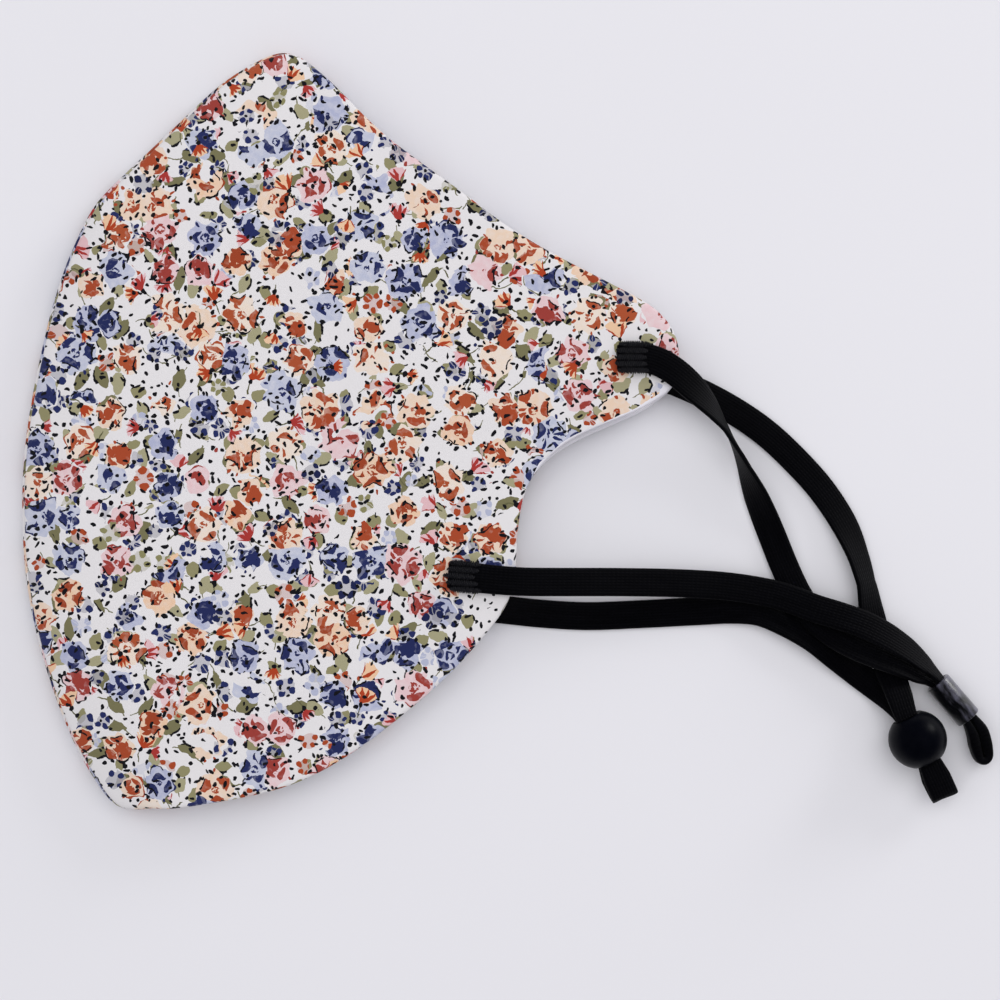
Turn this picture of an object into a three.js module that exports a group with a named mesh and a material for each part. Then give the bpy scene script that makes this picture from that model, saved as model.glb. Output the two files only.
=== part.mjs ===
// Cloth face mask with two adjustable elastic ear loops, folded in half along its centre seam and laid
// on its right half. Millimetres, +Z up, the surface that it lies on at z = 0.
//
// +X runs from the centre seam towards the ears and +Y from the chin towards the nose. The left half of
// the mask is on top and the right half underneath, and the face goes in between the two.

import * as THREE from 'three';

// ---------- Driving dimensions ----------

const CLOTH = { wall: 1.6, waveHeight: 0.3, waveLength: { x: 62, y: 84 } };
const HUB = { x: -4, y: 0 }; // the point inside the outline that every ring of cloth closes on
const STEPS_PER_ROW = 2; // of an ear loop's route
const SLEEVE = { outerRadius: 2.6, boreRadius: 2.05, length: 9.5, lip: 0.2, sides: 24 };
const BEAD = { radius: 5.75, boreRadius: 2.75, lip: 0.35, sides: 32, arcSteps: 14 };
const SLEEVE_AT = { x: 119.9, y: -54.0, z: 2.62, heading: -49 }; // heading in degrees from +X, in plan
const BEAD_AT = { x: 112.3, y: -61.5, z: 5.75, heading: -63 };

const COLOUR = { print: 0xe9e4e6, elastic: 0x08080a, sleeve: 0x2b2a33, bead: 0x050509 };

const mix = THREE.MathUtils.lerp;
const radians = THREE.MathUtils.degToRad;

// ---------- The outline of the folded mask ----------

// The edges in order round the outline, anticlockwise from the nose peak. Each is a smooth curve through
// its points, in so many sections. `seamed` is how far each end is sewn to the other half, from 0 to 1.
const EDGES = [
  { name: 'nose seam', sections: 10, seamed: [1, 1],
    points: [[-12.9, 75.2], [-17.6, 73.2], [-25.4, 68.4], [-34.6, 59.8], [-44.4, 50.7], [-50.9, 44.2]] },
  { name: 'front seam', sections: 20, seamed: [1, 1],
    points: [[-50.9, 44.2], [-56.3, 32.6], [-60.2, 19.6], [-63.0, 6.4], [-64.6, -4.7], [-65.0, -15.4],
      [-64.5, -27.0], [-62.7, -38.4], [-59.0, -51.4], [-53.7, -64.5], [-46.5, -75.7]] },
  { name: 'chin edge, near the seam', sections: 3, seamed: [1, 0],
    points: [[-46.5, -75.7], [-41.0, -75.7], [-35.0, -75.1]] },
  { name: 'chin edge', sections: 13, seamed: [0, 0],
    points: [[-35.0, -75.1], [-21.3, -72.9], [-10.0, -69.9], [1.4, -63.6], [15.7, -52.4], [24.0, -44.2],
      [30.0, -36.9]] },
  { name: 'lower lobe', sections: 3, seamed: [0, 0], points: [[30.0, -36.9], [31.9, -33.2], [33.0, -28.6]] },
  { name: 'ear edge', sections: 13, seamed: [0, 0],
    points: [[33.0, -28.6], [33.3, -20.6], [34.8, -12.2], [38.2, -6.9], [42.2, -3.2], [46.9, -0.6],
      [51.8, 1.4], [58.4, 4.2], [64.4, 8.0]] },
  { name: 'upper lobe', sections: 5, seamed: [0, 0],
    points: [[64.4, 8.0], [65.1, 12.0], [65.1, 16.2], [63.9, 19.6], [61.2, 22.9], [57.3, 25.4]] },
  { name: 'cheek edge', sections: 14, seamed: [0, 0],
    points: [[57.3, 25.4], [48.7, 29.9], [40.0, 34.4], [31.2, 39.7], [23.3, 45.7], [14.3, 52.2],
      [6.7, 57.9], [0.2, 64.4], [-3.6, 68.3]] },
  { name: 'cheek edge, near the seam', sections: 3, seamed: [0, 1],
    points: [[-3.6, 68.3], [-7.8, 72.7], [-12.9, 75.2]] },
];

// How far the right half's ear edge stands out past the left half's, by its place along that edge.
const STAND_OUT = { edge: 'ear edge', most: 2.3, from: 0.42, to: 0.98 };

function standOut(edge, along) {
  if (edge.name !== STAND_OUT.edge || along < STAND_OUT.from || along > STAND_OUT.to) return 0;
  const share = (along - STAND_OUT.from) / (STAND_OUT.to - STAND_OUT.from);
  return STAND_OUT.most * Math.sin(Math.PI * share);
}

/** The outline as a ring of points, each with how far it is sewn and how far the right half stands out. */
function outlineRing() {
  const ring = [];
  for (const edge of EDGES) {
    const curve = new THREE.SplineCurve(edge.points.map(([x, y]) => new THREE.Vector2(x, y)));
    const spaced = curve.getSpacedPoints(edge.sections);
    for (let i = 0; i < edge.sections; i++) {
      const along = i / edge.sections;
      const seamed = mix(edge.seamed[0], edge.seamed[1], along);
      ring.push({ x: spaced[i].x, y: spaced[i].y, seamed, past: standOut(edge, along) });
    }
  }
  return ring;
}

// ---------- The two cloth halves ----------

// A row for each ring of cloth from the rim inwards: how far in from the outline it lies, and how high the
// middle of the cloth is there, where the rim is sewn and where it is open.
const LEFT_ROWS = [
  { sewnIn: 1.75, sewnHeight: 5.2, openIn: 0.0, openHeight: 8.2 },
  { sewnIn: 3.5, sewnHeight: 6.0, openIn: 1.6, openHeight: 8.3 },
  { sewnIn: 6.5, sewnHeight: 7.0, openIn: 4.5, openHeight: 8.4 },
  { sewnIn: 11.0, sewnHeight: 7.9, openIn: 9.0, openHeight: 8.5 },
  { sewnIn: 17.5, sewnHeight: 8.5, openIn: 15.0, openHeight: 8.6 },
  { sewnIn: 25.0, sewnHeight: 8.8, openIn: 25.0, openHeight: 8.8 },
];
const RIGHT_ROWS = [
  { sewnIn: 1.2, sewnHeight: 4.55, openIn: 0.0, openHeight: 2.25 },
  { sewnIn: 0.7, sewnHeight: 3.8, openIn: 1.6, openHeight: 2.25 },
  { sewnIn: 0.65, sewnHeight: 2.6, openIn: 4.5, openHeight: 2.25 },
  { sewnIn: 1.4, sewnHeight: 1.5, openIn: 9.0, openHeight: 2.25 },
  { sewnIn: 3.7, sewnHeight: 0.8, openIn: 15.0, openHeight: 2.25 },
  { sewnIn: 25.0, sewnHeight: 0.8, openIn: 25.0, openHeight: 0.8 },
];
const INNER_RINGS = [0.62, 0.3]; // the rest of the way to the hub, as shares of the last row's distance

/** The long soft waves that a half lying on nothing has, worth 0 at its hub and at its last row's ring. */
function wave(x, y, share) {
  const { waveHeight, waveLength } = CLOTH;
  const turn = 2 * Math.PI;
  const swell = Math.sin(turn * x / waveLength.x) * Math.cos(turn * y / waveLength.y);
  return 4 * share * (1 - share) * waveHeight * swell;
}

/** The middle surface of one half: rings of points from the rim inwards, and the hub. */
function clothRings(outline, rows, { reach, waves }) {
  const rings = rows.map((row) => outline.map((at) => {
    const out = new THREE.Vector3(at.x - HUB.x, at.y - HUB.y, 0);
    const inBy = mix(row.openIn, row.sewnIn, at.seamed) - reach * at.past;
    const distance = out.length() - inBy;
    const height = mix(row.openHeight, row.sewnHeight, at.seamed);
    return out.setLength(distance).add(new THREE.Vector3(HUB.x, HUB.y, height));
  }));
  const last = rings[rings.length - 1];
  const hub = new THREE.Vector3(HUB.x, HUB.y, last[0].z);
  for (const share of INNER_RINGS) {
    rings.push(last.map((at) => {
      const inner = hub.clone().lerp(at, share);
      inner.z += waves * wave(inner.x, inner.y, share);
      return inner;
    }));
  }
  return { rings, hub };
}

/** The triangles of rings of `count` points that close on a last single point. */
function ringTriangles(ringCount, count) {
  const triangles = [];
  const hub = ringCount * count;
  for (let r = 0; r < ringCount; r++) {
    for (let i = 0; i < count; i++) {
      const next = (i + 1) % count;
      const a = r * count + i;
      const b = r * count + next;
      if (r === ringCount - 1) {
        triangles.push([a, b, hub]);
      } else {
        triangles.push([a, b, b + count], [a, b + count, a + count]);
      }
    }
  }
  return triangles;
}

function meshGeometry(points, triangles) {
  const geometry = new THREE.BufferGeometry();
  const numbers = points.flatMap((p) => [p.x, p.y, p.z]);
  geometry.setAttribute('position', new THREE.Float32BufferAttribute(numbers, 3));
  geometry.setIndex(triangles.flat());
  geometry.computeVertexNormals();
  return geometry;
}

/** A closed wall of cloth, `CLOTH.wall` thick, with the given rings as its middle. */
function clothWall({ rings, hub }) {
  const count = rings[0].length;
  const middle = [...rings.flat(), hub];
  const faces = ringTriangles(rings.length, count);
  const normals = meshGeometry(middle, faces).getAttribute('normal');
  const offset = (side) => middle.map((p, i) => (
    new THREE.Vector3().fromBufferAttribute(normals, i).multiplyScalar(side * CLOTH.wall / 2).add(p)));
  const top = offset(1);
  const bottom = offset(-1);
  const below = middle.length;
  const underside = faces.map(([a, b, c]) => [c + below, b + below, a + below]);
  const rim = [];
  for (let i = 0; i < count; i++) {
    const next = (i + 1) % count;
    rim.push([i + below, next + below, next], [i + below, next, i]);
  }
  return meshGeometry([...top, ...bottom], [...faces, ...underside, ...rim]);
}

// ---------- The elastic ear loops ----------

// Each ear loop is one flat strip. A row for each place that it passes, from the end sewn by the upper lobe,
// through the adjuster, round the fold of its tail and back to the end sewn by the lower lobe. `lean` is how
// far its width is turned up out of the level, in degrees; `wide` and `thick` are its section there.
const COLUMNS = ['x', 'y', 'z', 'lean', 'wide', 'thick'];
const rowsOf = (table) => table.map((row) => Object.fromEntries(COLUMNS.map((name, i) => [name, row[i]])));

const LEFT_ROUTE = rowsOf([
  [52.7, 13.7, 10.3, 0, 6.0, 1.1],
  [57.0, 13.7, 10.3, 0, 5.8, 1.1],
  [60.4, 13.0, 10.3, 0, 5.7, 1.1],
  [63.7, 11.2, 10.2, 0, 5.6, 1.1],
  [67.2, 8.3, 9.4, 14, 5.6, 1.1],
  [71.0, 4.6, 7.4, 46, 5.6, 1.1],
  [74.1, 0.6, 5.4, 76, 5.6, 1.1],
  [76.5, -3.7, 4.0, 90, 5.6, 1.1],
  [78.4, -8.0, 3.6, 108, 5.6, 1.1],
  [80.8, -13.6, 2.7, 140, 5.6, 1.1],
  [83.7, -20.4, 1.5, 164, 5.6, 1.1],
  [86.8, -28.0, 1.1, 176, 5.6, 1.1],
  [89.4, -33.4, 1.5, 180, 5.6, 1.1],
  [92.3, -37.4, 2.4, 184, 5.6, 1.1],
  [95.8, -40.6, 3.2, 192, 5.6, 1.1],
  [99.8, -43.0, 3.7, 200, 5.6, 1.1],
  [104.4, -45.0, 4.1, 206, 5.6, 1.1],
  [109.0, -46.9, 4.3, 214, 5.2, 1.1],
  [112.6, -48.7, 3.6, 224, 4.4, 1.15],
  [114.6, -49.7, 2.7, 231, 3.2, 1.2],
  [116.3, -50.8, 2.2, 235, 2.7, 1.2],
  [119.2, -54.5, 2.4, 258, 2.7, 1.2],
  [122.4, -58.1, 2.6, 270, 2.8, 1.25],
  [123.6, -60.5, 2.5, 270, 3.2, 1.7],
  [124.2, -62.9, 2.45, 270, 3.2, 1.85],
  [124.75, -64.9, 2.4, 270, 3.2, 1.8],
  [125.25, -65.75, 2.4, 270, 3.2, 1.75],
  [126.15, -65.95, 2.4, 270, 3.2, 1.75],
  [126.8, -65.3, 2.4, 270, 3.2, 1.75],
  [126.8, -64.3, 2.4, 270, 3.2, 1.8],
  [126.35, -62.2, 2.45, 270, 3.2, 1.85],
  [125.65, -59.8, 2.5, 270, 3.2, 1.75],
  [123.6, -57.1, 2.65, 270, 2.8, 1.25],
  [120.6, -53.5, 2.85, 282, 2.7, 1.2],
  [117.3, -50.0, 3.05, 305, 2.7, 1.2],
  [115.8, -48.4, 3.5, 309, 3.2, 1.2],
  [114.0, -46.7, 4.1, 316, 4.4, 1.15],
  [110.6, -43.9, 4.8, 328, 5.2, 1.1],
  [106.4, -41.2, 5.1, 340, 5.6, 1.1],
  [102.2, -39.0, 5.1, 348, 5.6, 1.1],
  [97.2, -37.2, 4.8, 354, 5.6, 1.1],
  [92.3, -35.7, 4.2, 358, 5.6, 1.1],
  [88.3, -34.2, 3.6, 360, 5.6, 1.1],
  [83.8, -32.8, 3.2, 360, 5.6, 1.1],
  [75.4, -31.4, 3.3, 360, 5.6, 1.1],
  [65.4, -30.7, 4.5, 360, 5.6, 1.1],
  [53.4, -30.4, 6.5, 360, 5.6, 1.1],
  [41.6, -30.3, 8.8, 360, 5.6, 1.1],
  [34.6, -30.2, 9.9, 360, 5.6, 1.1],
  [28.6, -29.8, 10.3, 360, 5.7, 1.1],
  [24.0, -29.3, 10.4, 360, 5.8, 1.1],
  [19.6, -28.9, 10.4, 360, 6.0, 1.1],
]);

const RIGHT_ROUTE = rowsOf([
  [51.6, 13.0, 0.6, 0, 6.0, 1.1],
  [55.6, 12.4, 0.6, 0, 5.8, 1.1],
  [59.6, 11.4, 0.6, 0, 5.7, 1.1],
  [64.8, 9.4, 0.6, 0, 5.6, 1.1],
  [71.1, 6.6, 0.6, 0, 5.6, 1.1],
  [77.5, 3.0, 0.6, 0, 5.6, 1.1],
  [83.0, -0.9, 0.6, 0, 5.6, 1.1],
  [88.2, -5.7, 0.6, 0, 5.6, 1.1],
  [93.8, -11.9, 0.8, 4, 5.6, 1.1],
  [98.3, -18.8, 1.4, 16, 5.6, 1.1],
  [100.9, -24.8, 2.1, 36, 5.6, 1.1],
  [102.6, -30.6, 2.4, 44, 5.6, 1.1],
  [103.6, -35.6, 1.9, 28, 5.6, 1.1],
  [104.8, -40.6, 1.0, 8, 5.6, 1.1],
  [106.2, -45.0, 1.2, 0, 5.6, 1.1],
  [107.6, -49.0, 2.9, 0, 5.6, 1.1],
  [108.8, -53.0, 5.3, 0, 5.2, 1.1],
  [110.0, -57.0, 6.55, 0, 4.4, 1.15],
  [112.3, -61.5, 6.55, 0, 4.4, 1.2],
  [114.6, -66.0, 6.5, 0, 4.6, 1.2],
  [116.1, -69.1, 6.1, 0, 5.0, 1.2],
  [117.35, -71.7, 5.6, 0, 5.0, 1.2],
  [117.75, -72.5, 5.2, 0, 5.0, 1.15],
  [117.8, -72.65, 4.75, 0, 5.0, 1.15],
  [117.6, -72.3, 4.3, 0, 5.0, 1.15],
  [117.0, -71.2, 4.1, 0, 5.0, 1.2],
  [115.9, -69.0, 4.45, 0, 5.0, 1.2],
  [114.6, -66.0, 4.95, 0, 4.6, 1.2],
  [112.3, -61.5, 4.95, 0, 4.4, 1.2],
  [110.0, -57.0, 4.95, 0, 4.4, 1.15],
  [108.1, -54.6, 3.7, 0, 4.8, 1.1],
  [105.2, -52.0, 1.5, 0, 5.2, 1.1],
  [101.6, -49.2, 0.8, -4, 5.4, 1.1],
  [96.7, -45.4, 1.4, -16, 5.6, 1.1],
  [91.9, -41.8, 1.9, -25, 5.6, 1.1],
  [86.7, -38.8, 1.8, -22, 5.6, 1.1],
  [81.6, -36.6, 1.4, -14, 5.6, 1.1],
  [76.0, -36.1, 0.9, -6, 5.6, 1.1],
  [69.6, -36.4, 0.6, 0, 5.6, 1.1],
  [58.0, -37.0, 0.6, 0, 5.6, 1.1],
  [47.0, -37.4, 0.6, 0, 5.6, 1.1],
  [38.0, -36.9, 0.6, 0, 5.6, 1.1],
  [30.4, -36.1, 0.6, 0, 5.6, 1.1],
  [25.0, -35.5, 0.6, 0, 5.8, 1.1],
  [20.2, -35.2, 0.6, 0, 6.0, 1.1],
]);

// The corners of the strip's section, as shares of half its width and half its thickness.
const SECTION = [
  [1, 0.45], [0.86, 1], [-0.86, 1], [-1, 0.45], [-1, -0.45], [-0.86, -1], [0.86, -1], [1, -0.45],
];

/** The level direction across a run, kept on the side that it had before, also where the run is steep. */
function acrossRun(run, before) {
  const level = new THREE.Vector3(run.y, -run.x, 0);
  if (before && level.length() < 0.35) {
    return before.clone().addScaledVector(run, -before.dot(run)).normalize();
  }
  level.normalize();
  return before && level.dot(before) < 0 ? level.negate() : level;
}

/** A flat strip along a route, closed at both ends. */
function strapGeometry(route) {
  const stops = route.map((row) => new THREE.Vector3(row.x, row.y, row.z));
  const curve = new THREE.CatmullRomCurve3(stops, false, 'centripetal');
  const spans = route.length - 1;
  const points = [];
  let across = null;
  for (let step = 0; step <= spans * STEPS_PER_ROW; step++) {
    const place = step / STEPS_PER_ROW;
    const row = Math.min(Math.floor(place), spans - 1);
    const between = (name) => mix(route[row][name], route[row + 1][name], place - row);
    const at = curve.getPoint(place / spans);
    const run = curve.getTangent(place / spans);
    across = acrossRun(run, across);
    const up = across.clone().cross(run);
    const lean = radians(between('lean'));
    const width = across.clone().multiplyScalar(Math.cos(lean)).addScaledVector(up, Math.sin(lean));
    const face = width.clone().cross(run);
    width.multiplyScalar(between('wide') / 2);
    face.multiplyScalar(between('thick') / 2);
    for (const [w, t] of SECTION) {
      points.push(at.clone().addScaledVector(width, w).addScaledVector(face, t));
    }
  }
  const corners = SECTION.length;
  const rings = points.length / corners;
  const triangles = [];
  for (let r = 0; r < rings - 1; r++) {
    for (let i = 0; i < corners; i++) {
      const a = r * corners + i;
      const b = r * corners + (i + 1) % corners;
      triangles.push([b, a, a + corners], [b, a + corners, b + corners]);
    }
  }
  const last = (rings - 1) * corners;
  for (let i = 1; i < corners - 1; i++) {
    triangles.push([0, i, i + 1], [last, last + i + 1, last + i]);
  }
  return meshGeometry(points, triangles);
}

// ---------- The adjusters ----------

/** A body of revolution with its axis level, at the given place and heading in plan. */
function turned(profile, sides, { x, y, z, heading }) {
  const corners = profile.map(([radius, along]) => new THREE.Vector2(radius, along));
  const geometry = new THREE.LatheGeometry(corners, sides);
  geometry.rotateZ(-Math.PI / 2);
  geometry.rotateZ(radians(heading));
  return geometry.translate(x, y, z);
}

function sleeveGeometry() {
  const { outerRadius, boreRadius, length, lip, sides } = SLEEVE;
  const half = length / 2;
  const profile = [
    [boreRadius, -half + lip], [boreRadius + lip, -half],
    [outerRadius - lip, -half], [outerRadius, -half + lip],
    [outerRadius, half - lip], [outerRadius - lip, half],
    [boreRadius + lip, half], [boreRadius, half - lip],
    [boreRadius, -half + lip],
  ];
  return turned(profile, sides, SLEEVE_AT);
}

function beadGeometry() {
  const { radius, boreRadius, lip, sides, arcSteps } = BEAD;
  const mouth = Math.asin((boreRadius + lip) / radius);
  const profile = [];
  for (let i = 0; i <= arcSteps; i++) {
    const angle = mix(mouth, Math.PI - mouth, i / arcSteps);
    profile.push([radius * Math.sin(angle), -radius * Math.cos(angle)]);
  }
  const end = radius * Math.cos(mouth) - lip;
  profile.push([boreRadius, end], [boreRadius, -end], profile[0]);
  return turned(profile, sides, BEAD_AT);
}

// ---------- The mask ----------

const cloth = new THREE.MeshStandardMaterial({ color: COLOUR.print, roughness: 0.9, metalness: 0 });
const elastic = new THREE.MeshStandardMaterial({ color: COLOUR.elastic, roughness: 0.75, metalness: 0 });
const rubber = new THREE.MeshStandardMaterial({ color: COLOUR.sleeve, roughness: 0.3, metalness: 0 });
const plastic = new THREE.MeshStandardMaterial({ color: COLOUR.bead, roughness: 0.15, metalness: 0 });

const mask = new THREE.Group();

function add(name, geometry, material) {
  const piece = new THREE.Mesh(geometry, material);
  piece.name = name;
  mask.add(piece);
}

const outline = outlineRing();
add('left_panel', clothWall(clothRings(outline, LEFT_ROWS, { reach: 0, waves: 1 })), cloth);
add('right_panel', clothWall(clothRings(outline, RIGHT_ROWS, { reach: 1, waves: 0 })), cloth);
add('left_ear_loop', strapGeometry(LEFT_ROUTE), elastic);
add('right_ear_loop', strapGeometry(RIGHT_ROUTE), elastic);
add('left_adjuster', sleeveGeometry(), rubber);
add('right_adjuster', beadGeometry(), plastic);

export default mask;
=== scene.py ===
"""Cloth face mask, folded in half and laid on its side, with two adjustable elastic ear loops."""

import logging
import math
from collections.abc import Sequence
from dataclasses import dataclass, field, replace
from enum import Enum

import bmesh
import bpy
from bmesh.types import BMEdge, BMesh, BMVert
from bpy.types import ID, Material, Mesh, Node, NodeSocket, Object
from mathutils import Matrix, Vector, kdtree, noise


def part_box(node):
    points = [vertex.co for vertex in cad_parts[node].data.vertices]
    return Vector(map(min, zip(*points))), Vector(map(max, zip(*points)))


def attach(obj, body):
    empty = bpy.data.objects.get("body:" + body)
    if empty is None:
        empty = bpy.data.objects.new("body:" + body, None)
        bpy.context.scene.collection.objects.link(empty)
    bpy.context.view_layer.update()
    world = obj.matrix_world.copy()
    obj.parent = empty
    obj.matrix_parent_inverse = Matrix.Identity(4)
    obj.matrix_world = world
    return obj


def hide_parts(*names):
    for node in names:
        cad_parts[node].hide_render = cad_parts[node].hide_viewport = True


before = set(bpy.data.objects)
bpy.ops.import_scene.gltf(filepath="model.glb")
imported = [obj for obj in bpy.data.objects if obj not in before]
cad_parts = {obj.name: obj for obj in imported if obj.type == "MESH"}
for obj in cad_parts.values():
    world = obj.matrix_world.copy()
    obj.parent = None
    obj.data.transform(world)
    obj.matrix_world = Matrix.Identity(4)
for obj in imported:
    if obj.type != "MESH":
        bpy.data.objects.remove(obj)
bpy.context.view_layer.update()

LOG = logging.getLogger("mask")
MM = 0.001
PER_MM = 1000.0
ROOT = "root"
Colour = tuple[float, float, float]
Range = tuple[float, float]


# ---------------------------------------------------------------- shader wiring


@dataclass(frozen=True)
class Wire:
    """A value that runs between shader nodes, with arithmetic that adds Math nodes."""

    graph: "Graph"
    socket: NodeSocket

    def __add__(self, other: "Wire | float") -> "Wire":
        """The sum."""
        return self.graph.math("ADD", self, other)

    def __sub__(self, other: "Wire | float") -> "Wire":
        """The difference."""
        return self.graph.math("SUBTRACT", self, other)

    def __rsub__(self, other: float) -> "Wire":
        """A number less this."""
        return self.graph.math("SUBTRACT", other, self)

    def __mul__(self, other: "Wire | float") -> "Wire":
        """The product."""
        return self.graph.math("MULTIPLY", self, other)

    def __truediv__(self, other: "Wire | float") -> "Wire":
        """The quotient."""
        return self.graph.math("DIVIDE", self, other)

    def __lt__(self, other: "Wire | float") -> "Wire":
        """1 where this is less, or else 0."""
        return self.graph.math("LESS_THAN", self, other)

    def __gt__(self, other: "Wire | float") -> "Wire":
        """1 where this is more, or else 0."""
        return self.graph.math("GREATER_THAN", self, other)

    def __abs__(self) -> "Wire":
        """The size without its sign."""
        return self.graph.math("ABSOLUTE", self)

    def squared(self) -> "Wire":
        """This times itself."""
        return self.graph.math("MULTIPLY", self, self)

    def hump(self) -> "Wire":
        """1 less the square, and no less than 0: a hump between -1 and 1."""
        return self.graph.math("MAXIMUM", 1.0 - self.squared(), 0.0)

    def root(self) -> "Wire":
        """The square root."""
        return self.graph.math("SQRT", self)

    def sine(self) -> "Wire":
        """The sine of this angle."""
        return self.graph.math("SINE", self)

    def cosine(self) -> "Wire":
        """The cosine of this angle."""
        return self.graph.math("COSINE", self)

    def between(self, low: float, high: float) -> "Wire":
        """A number from low to high, as this goes from 0 to 1."""
        return self.graph.math("MULTIPLY_ADD", self, high - low, low)


class Graph:
    """The nodes of one material, ending in a Principled shader."""

    def __init__(self, name: str) -> None:
        """Starts a material with nothing but its shader and output.

        Args:
            name: the material's name.
        """
        self.material = bpy.data.materials.new(name)
        self.material.use_nodes = True
        self.tree = self.material.node_tree
        self.shader = self.tree.nodes["Principled BSDF"]

    def node(self, kind: str, inputs: dict | None = None, **settings: object) -> Node:
        """Adds a node.

        Args:
            kind: the node's type, such as ShaderNodeMath.
            inputs: values or wires for its sockets, by name or number.
            settings: its properties.

        Returns:
            The node.
        """
        made = self.tree.nodes.new(kind)
        for key, value in settings.items():
            setattr(made, key, value)
        for key, value in (inputs or {}).items():
            self.feed(made.inputs[key], value)
        return made

    def feed(self, socket: NodeSocket, value: object) -> None:
        """Joins a wire to a socket, or sets the socket's own value.

        Args:
            socket: the input to fill.
            value: a wire, a number, a vector or a colour.
        """
        if isinstance(value, Wire):
            self.tree.links.new(value.socket, socket)
        elif socket.type == "RGBA":
            socket.default_value = (*value[:3], 1.0)
        else:
            socket.default_value = value

    def math(self, operation: str, *values: "Wire | float") -> Wire:
        """The result of a Math node on up to three values."""
        made = self.node("ShaderNodeMath", dict(enumerate(values)), operation=operation)
        return Wire(self, made.outputs[0])

    def vector(self, operation: str, *values: object) -> Wire:
        """The vector from a Vector Math node on up to three vectors."""
        made = self.node("ShaderNodeVectorMath", dict(enumerate(values)), operation=operation)
        return Wire(self, made.outputs["Vector"])

    def parts(self, vector: Wire) -> tuple[Wire, Wire, Wire]:
        """The three numbers of a vector or a colour."""
        made = self.node("ShaderNodeSeparateXYZ", {0: vector})
        return tuple(Wire(self, out) for out in made.outputs)

    def joined(self, *values: "Wire | float") -> Wire:
        """A vector from up to three numbers."""
        return Wire(self, self.node("ShaderNodeCombineXYZ", dict(enumerate(values))).outputs[0])

    def mix(self, share: "Wire | float", below: object, above: object) -> Wire:
        """A colour that goes from one to another.

        Args:
            share: how much of the second shows, from 0 to 1.
            below: the first colour.
            above: the second colour.

        Returns:
            The mixed colour.
        """
        made = self.node("ShaderNodeMix", data_type="RGBA", clamp_factor=True)
        self.feed(made.inputs[0], share)
        self.feed(made.inputs[6], below)
        self.feed(made.inputs[7], above)
        return Wire(self, made.outputs[2])

    def noise(self, at: Wire, scale: float, detail: float = 2.0) -> tuple[Wire, Wire]:
        """Soft noise over a plane.

        Args:
            at: the place on the plane.
            scale: how many blotches there are to a unit.
            detail: how many finer layers it has.

        Returns:
            The noise as a number and as a colour.
        """
        inputs = {"Vector": at, "Scale": scale, "Detail": detail, "Roughness": 0.5}
        made = self.node("ShaderNodeTexNoise", inputs, noise_dimensions="2D")
        return Wire(self, made.outputs[0]), Wire(self, made.outputs[1])

    def steps(self, share: Wire, stops: Sequence[tuple[float, Colour]]) -> Wire:
        """A colour picked from a list by a number from 0 to 1.

        Args:
            share: the number.
            stops: where each colour begins, and the colour.

        Returns:
            The picked colour.
        """
        made = self.node("ShaderNodeValToRGB", {0: share})
        ramp = made.color_ramp
        ramp.interpolation = "CONSTANT"
        for place, colour in stops:
            stop = ramp.elements[0] if place == 0.0 else ramp.elements.new(place)
            stop.color = (*colour, 1.0)
        ramp.elements.remove(ramp.elements[-1])
        return Wire(self, made.outputs[0])

    def place(self, scale: float = PER_MM) -> Wire:
        """The place on the object, in millimetres unless another scale is asked for."""
        place = Wire(self, self.node("ShaderNodeTexCoord").outputs["Object"])
        return self.vector("MULTIPLY", place, (scale,) * 3)

    def cloth(self) -> Wire:
        """The place on the laid-out cloth, in millimetres."""
        place = Wire(self, self.node("ShaderNodeUVMap", uv_map="cloth").outputs[0])
        return self.vector("MULTIPLY", place, (PER_MM,) * 3)

    def turned(self, place: Wire, angle: "Wire | float") -> Wire:
        """A place, turned about Z.

        Args:
            place: the place.
            angle: how far it's turned, in radians.

        Returns:
            The turned place.
        """
        inputs = {"Vector": place, "Angle": angle}
        made = self.node("ShaderNodeVectorRotate", inputs, rotation_type="Z_AXIS")
        return Wire(self, made.outputs[0])

    def attribute(self, name: str) -> Wire:
        """A number kept on the piece's own vertices."""
        return Wire(self, self.node("ShaderNodeAttribute", attribute_name=name).outputs["Fac"])

    def bump(self, height: Wire, depth: float) -> None:
        """Raises the surface by a height from 0 to 1, whose whole range is so many metres deep."""
        made = self.node("ShaderNodeBump", {"Strength": 1.0, "Distance": depth, "Height": height})
        self.tree.links.new(made.outputs[0], self.shader.inputs["Normal"])

    def finish(self, colour: "Wire | Colour", **levels: float) -> Material:
        """Sets the shader's colour and its other levels.

        Args:
            colour: the base colour.
            levels: values for other sockets, with _ for each space in a name.

        Returns:
            The finished material.
        """
        self.feed(self.shader.inputs["Base Color"], colour)
        for key, value in levels.items():
            self.feed(self.shader.inputs[key.replace("_", " ")], value)
        return self.material


# ---------------------------------------------------------------- the printed cotton


def rgb(code: str) -> Colour:
    """The linear colour of a six-figure sRGB code."""
    levels = [int(code[i : i + 2], 16) / 255 for i in (0, 2, 4)]
    return tuple(x / 12.92 if x <= 0.04045 else ((x + 0.055) / 1.055) ** 2.4 for x in levels)


GROUND = rgb("DEDBDD")
INK = rgb("0F0F16")
CLEARINGS = 0.075  # the scale of the noise that leaves the ground open here and there


@dataclass(frozen=True)
class Petals:
    """A place in its nearest petal: out along it, across it, and the petal's own seeds."""

    reach: Wire
    turn: Wire
    out: Wire
    across: Wire
    seeds: tuple[Wire, Wire, Wire]


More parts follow.
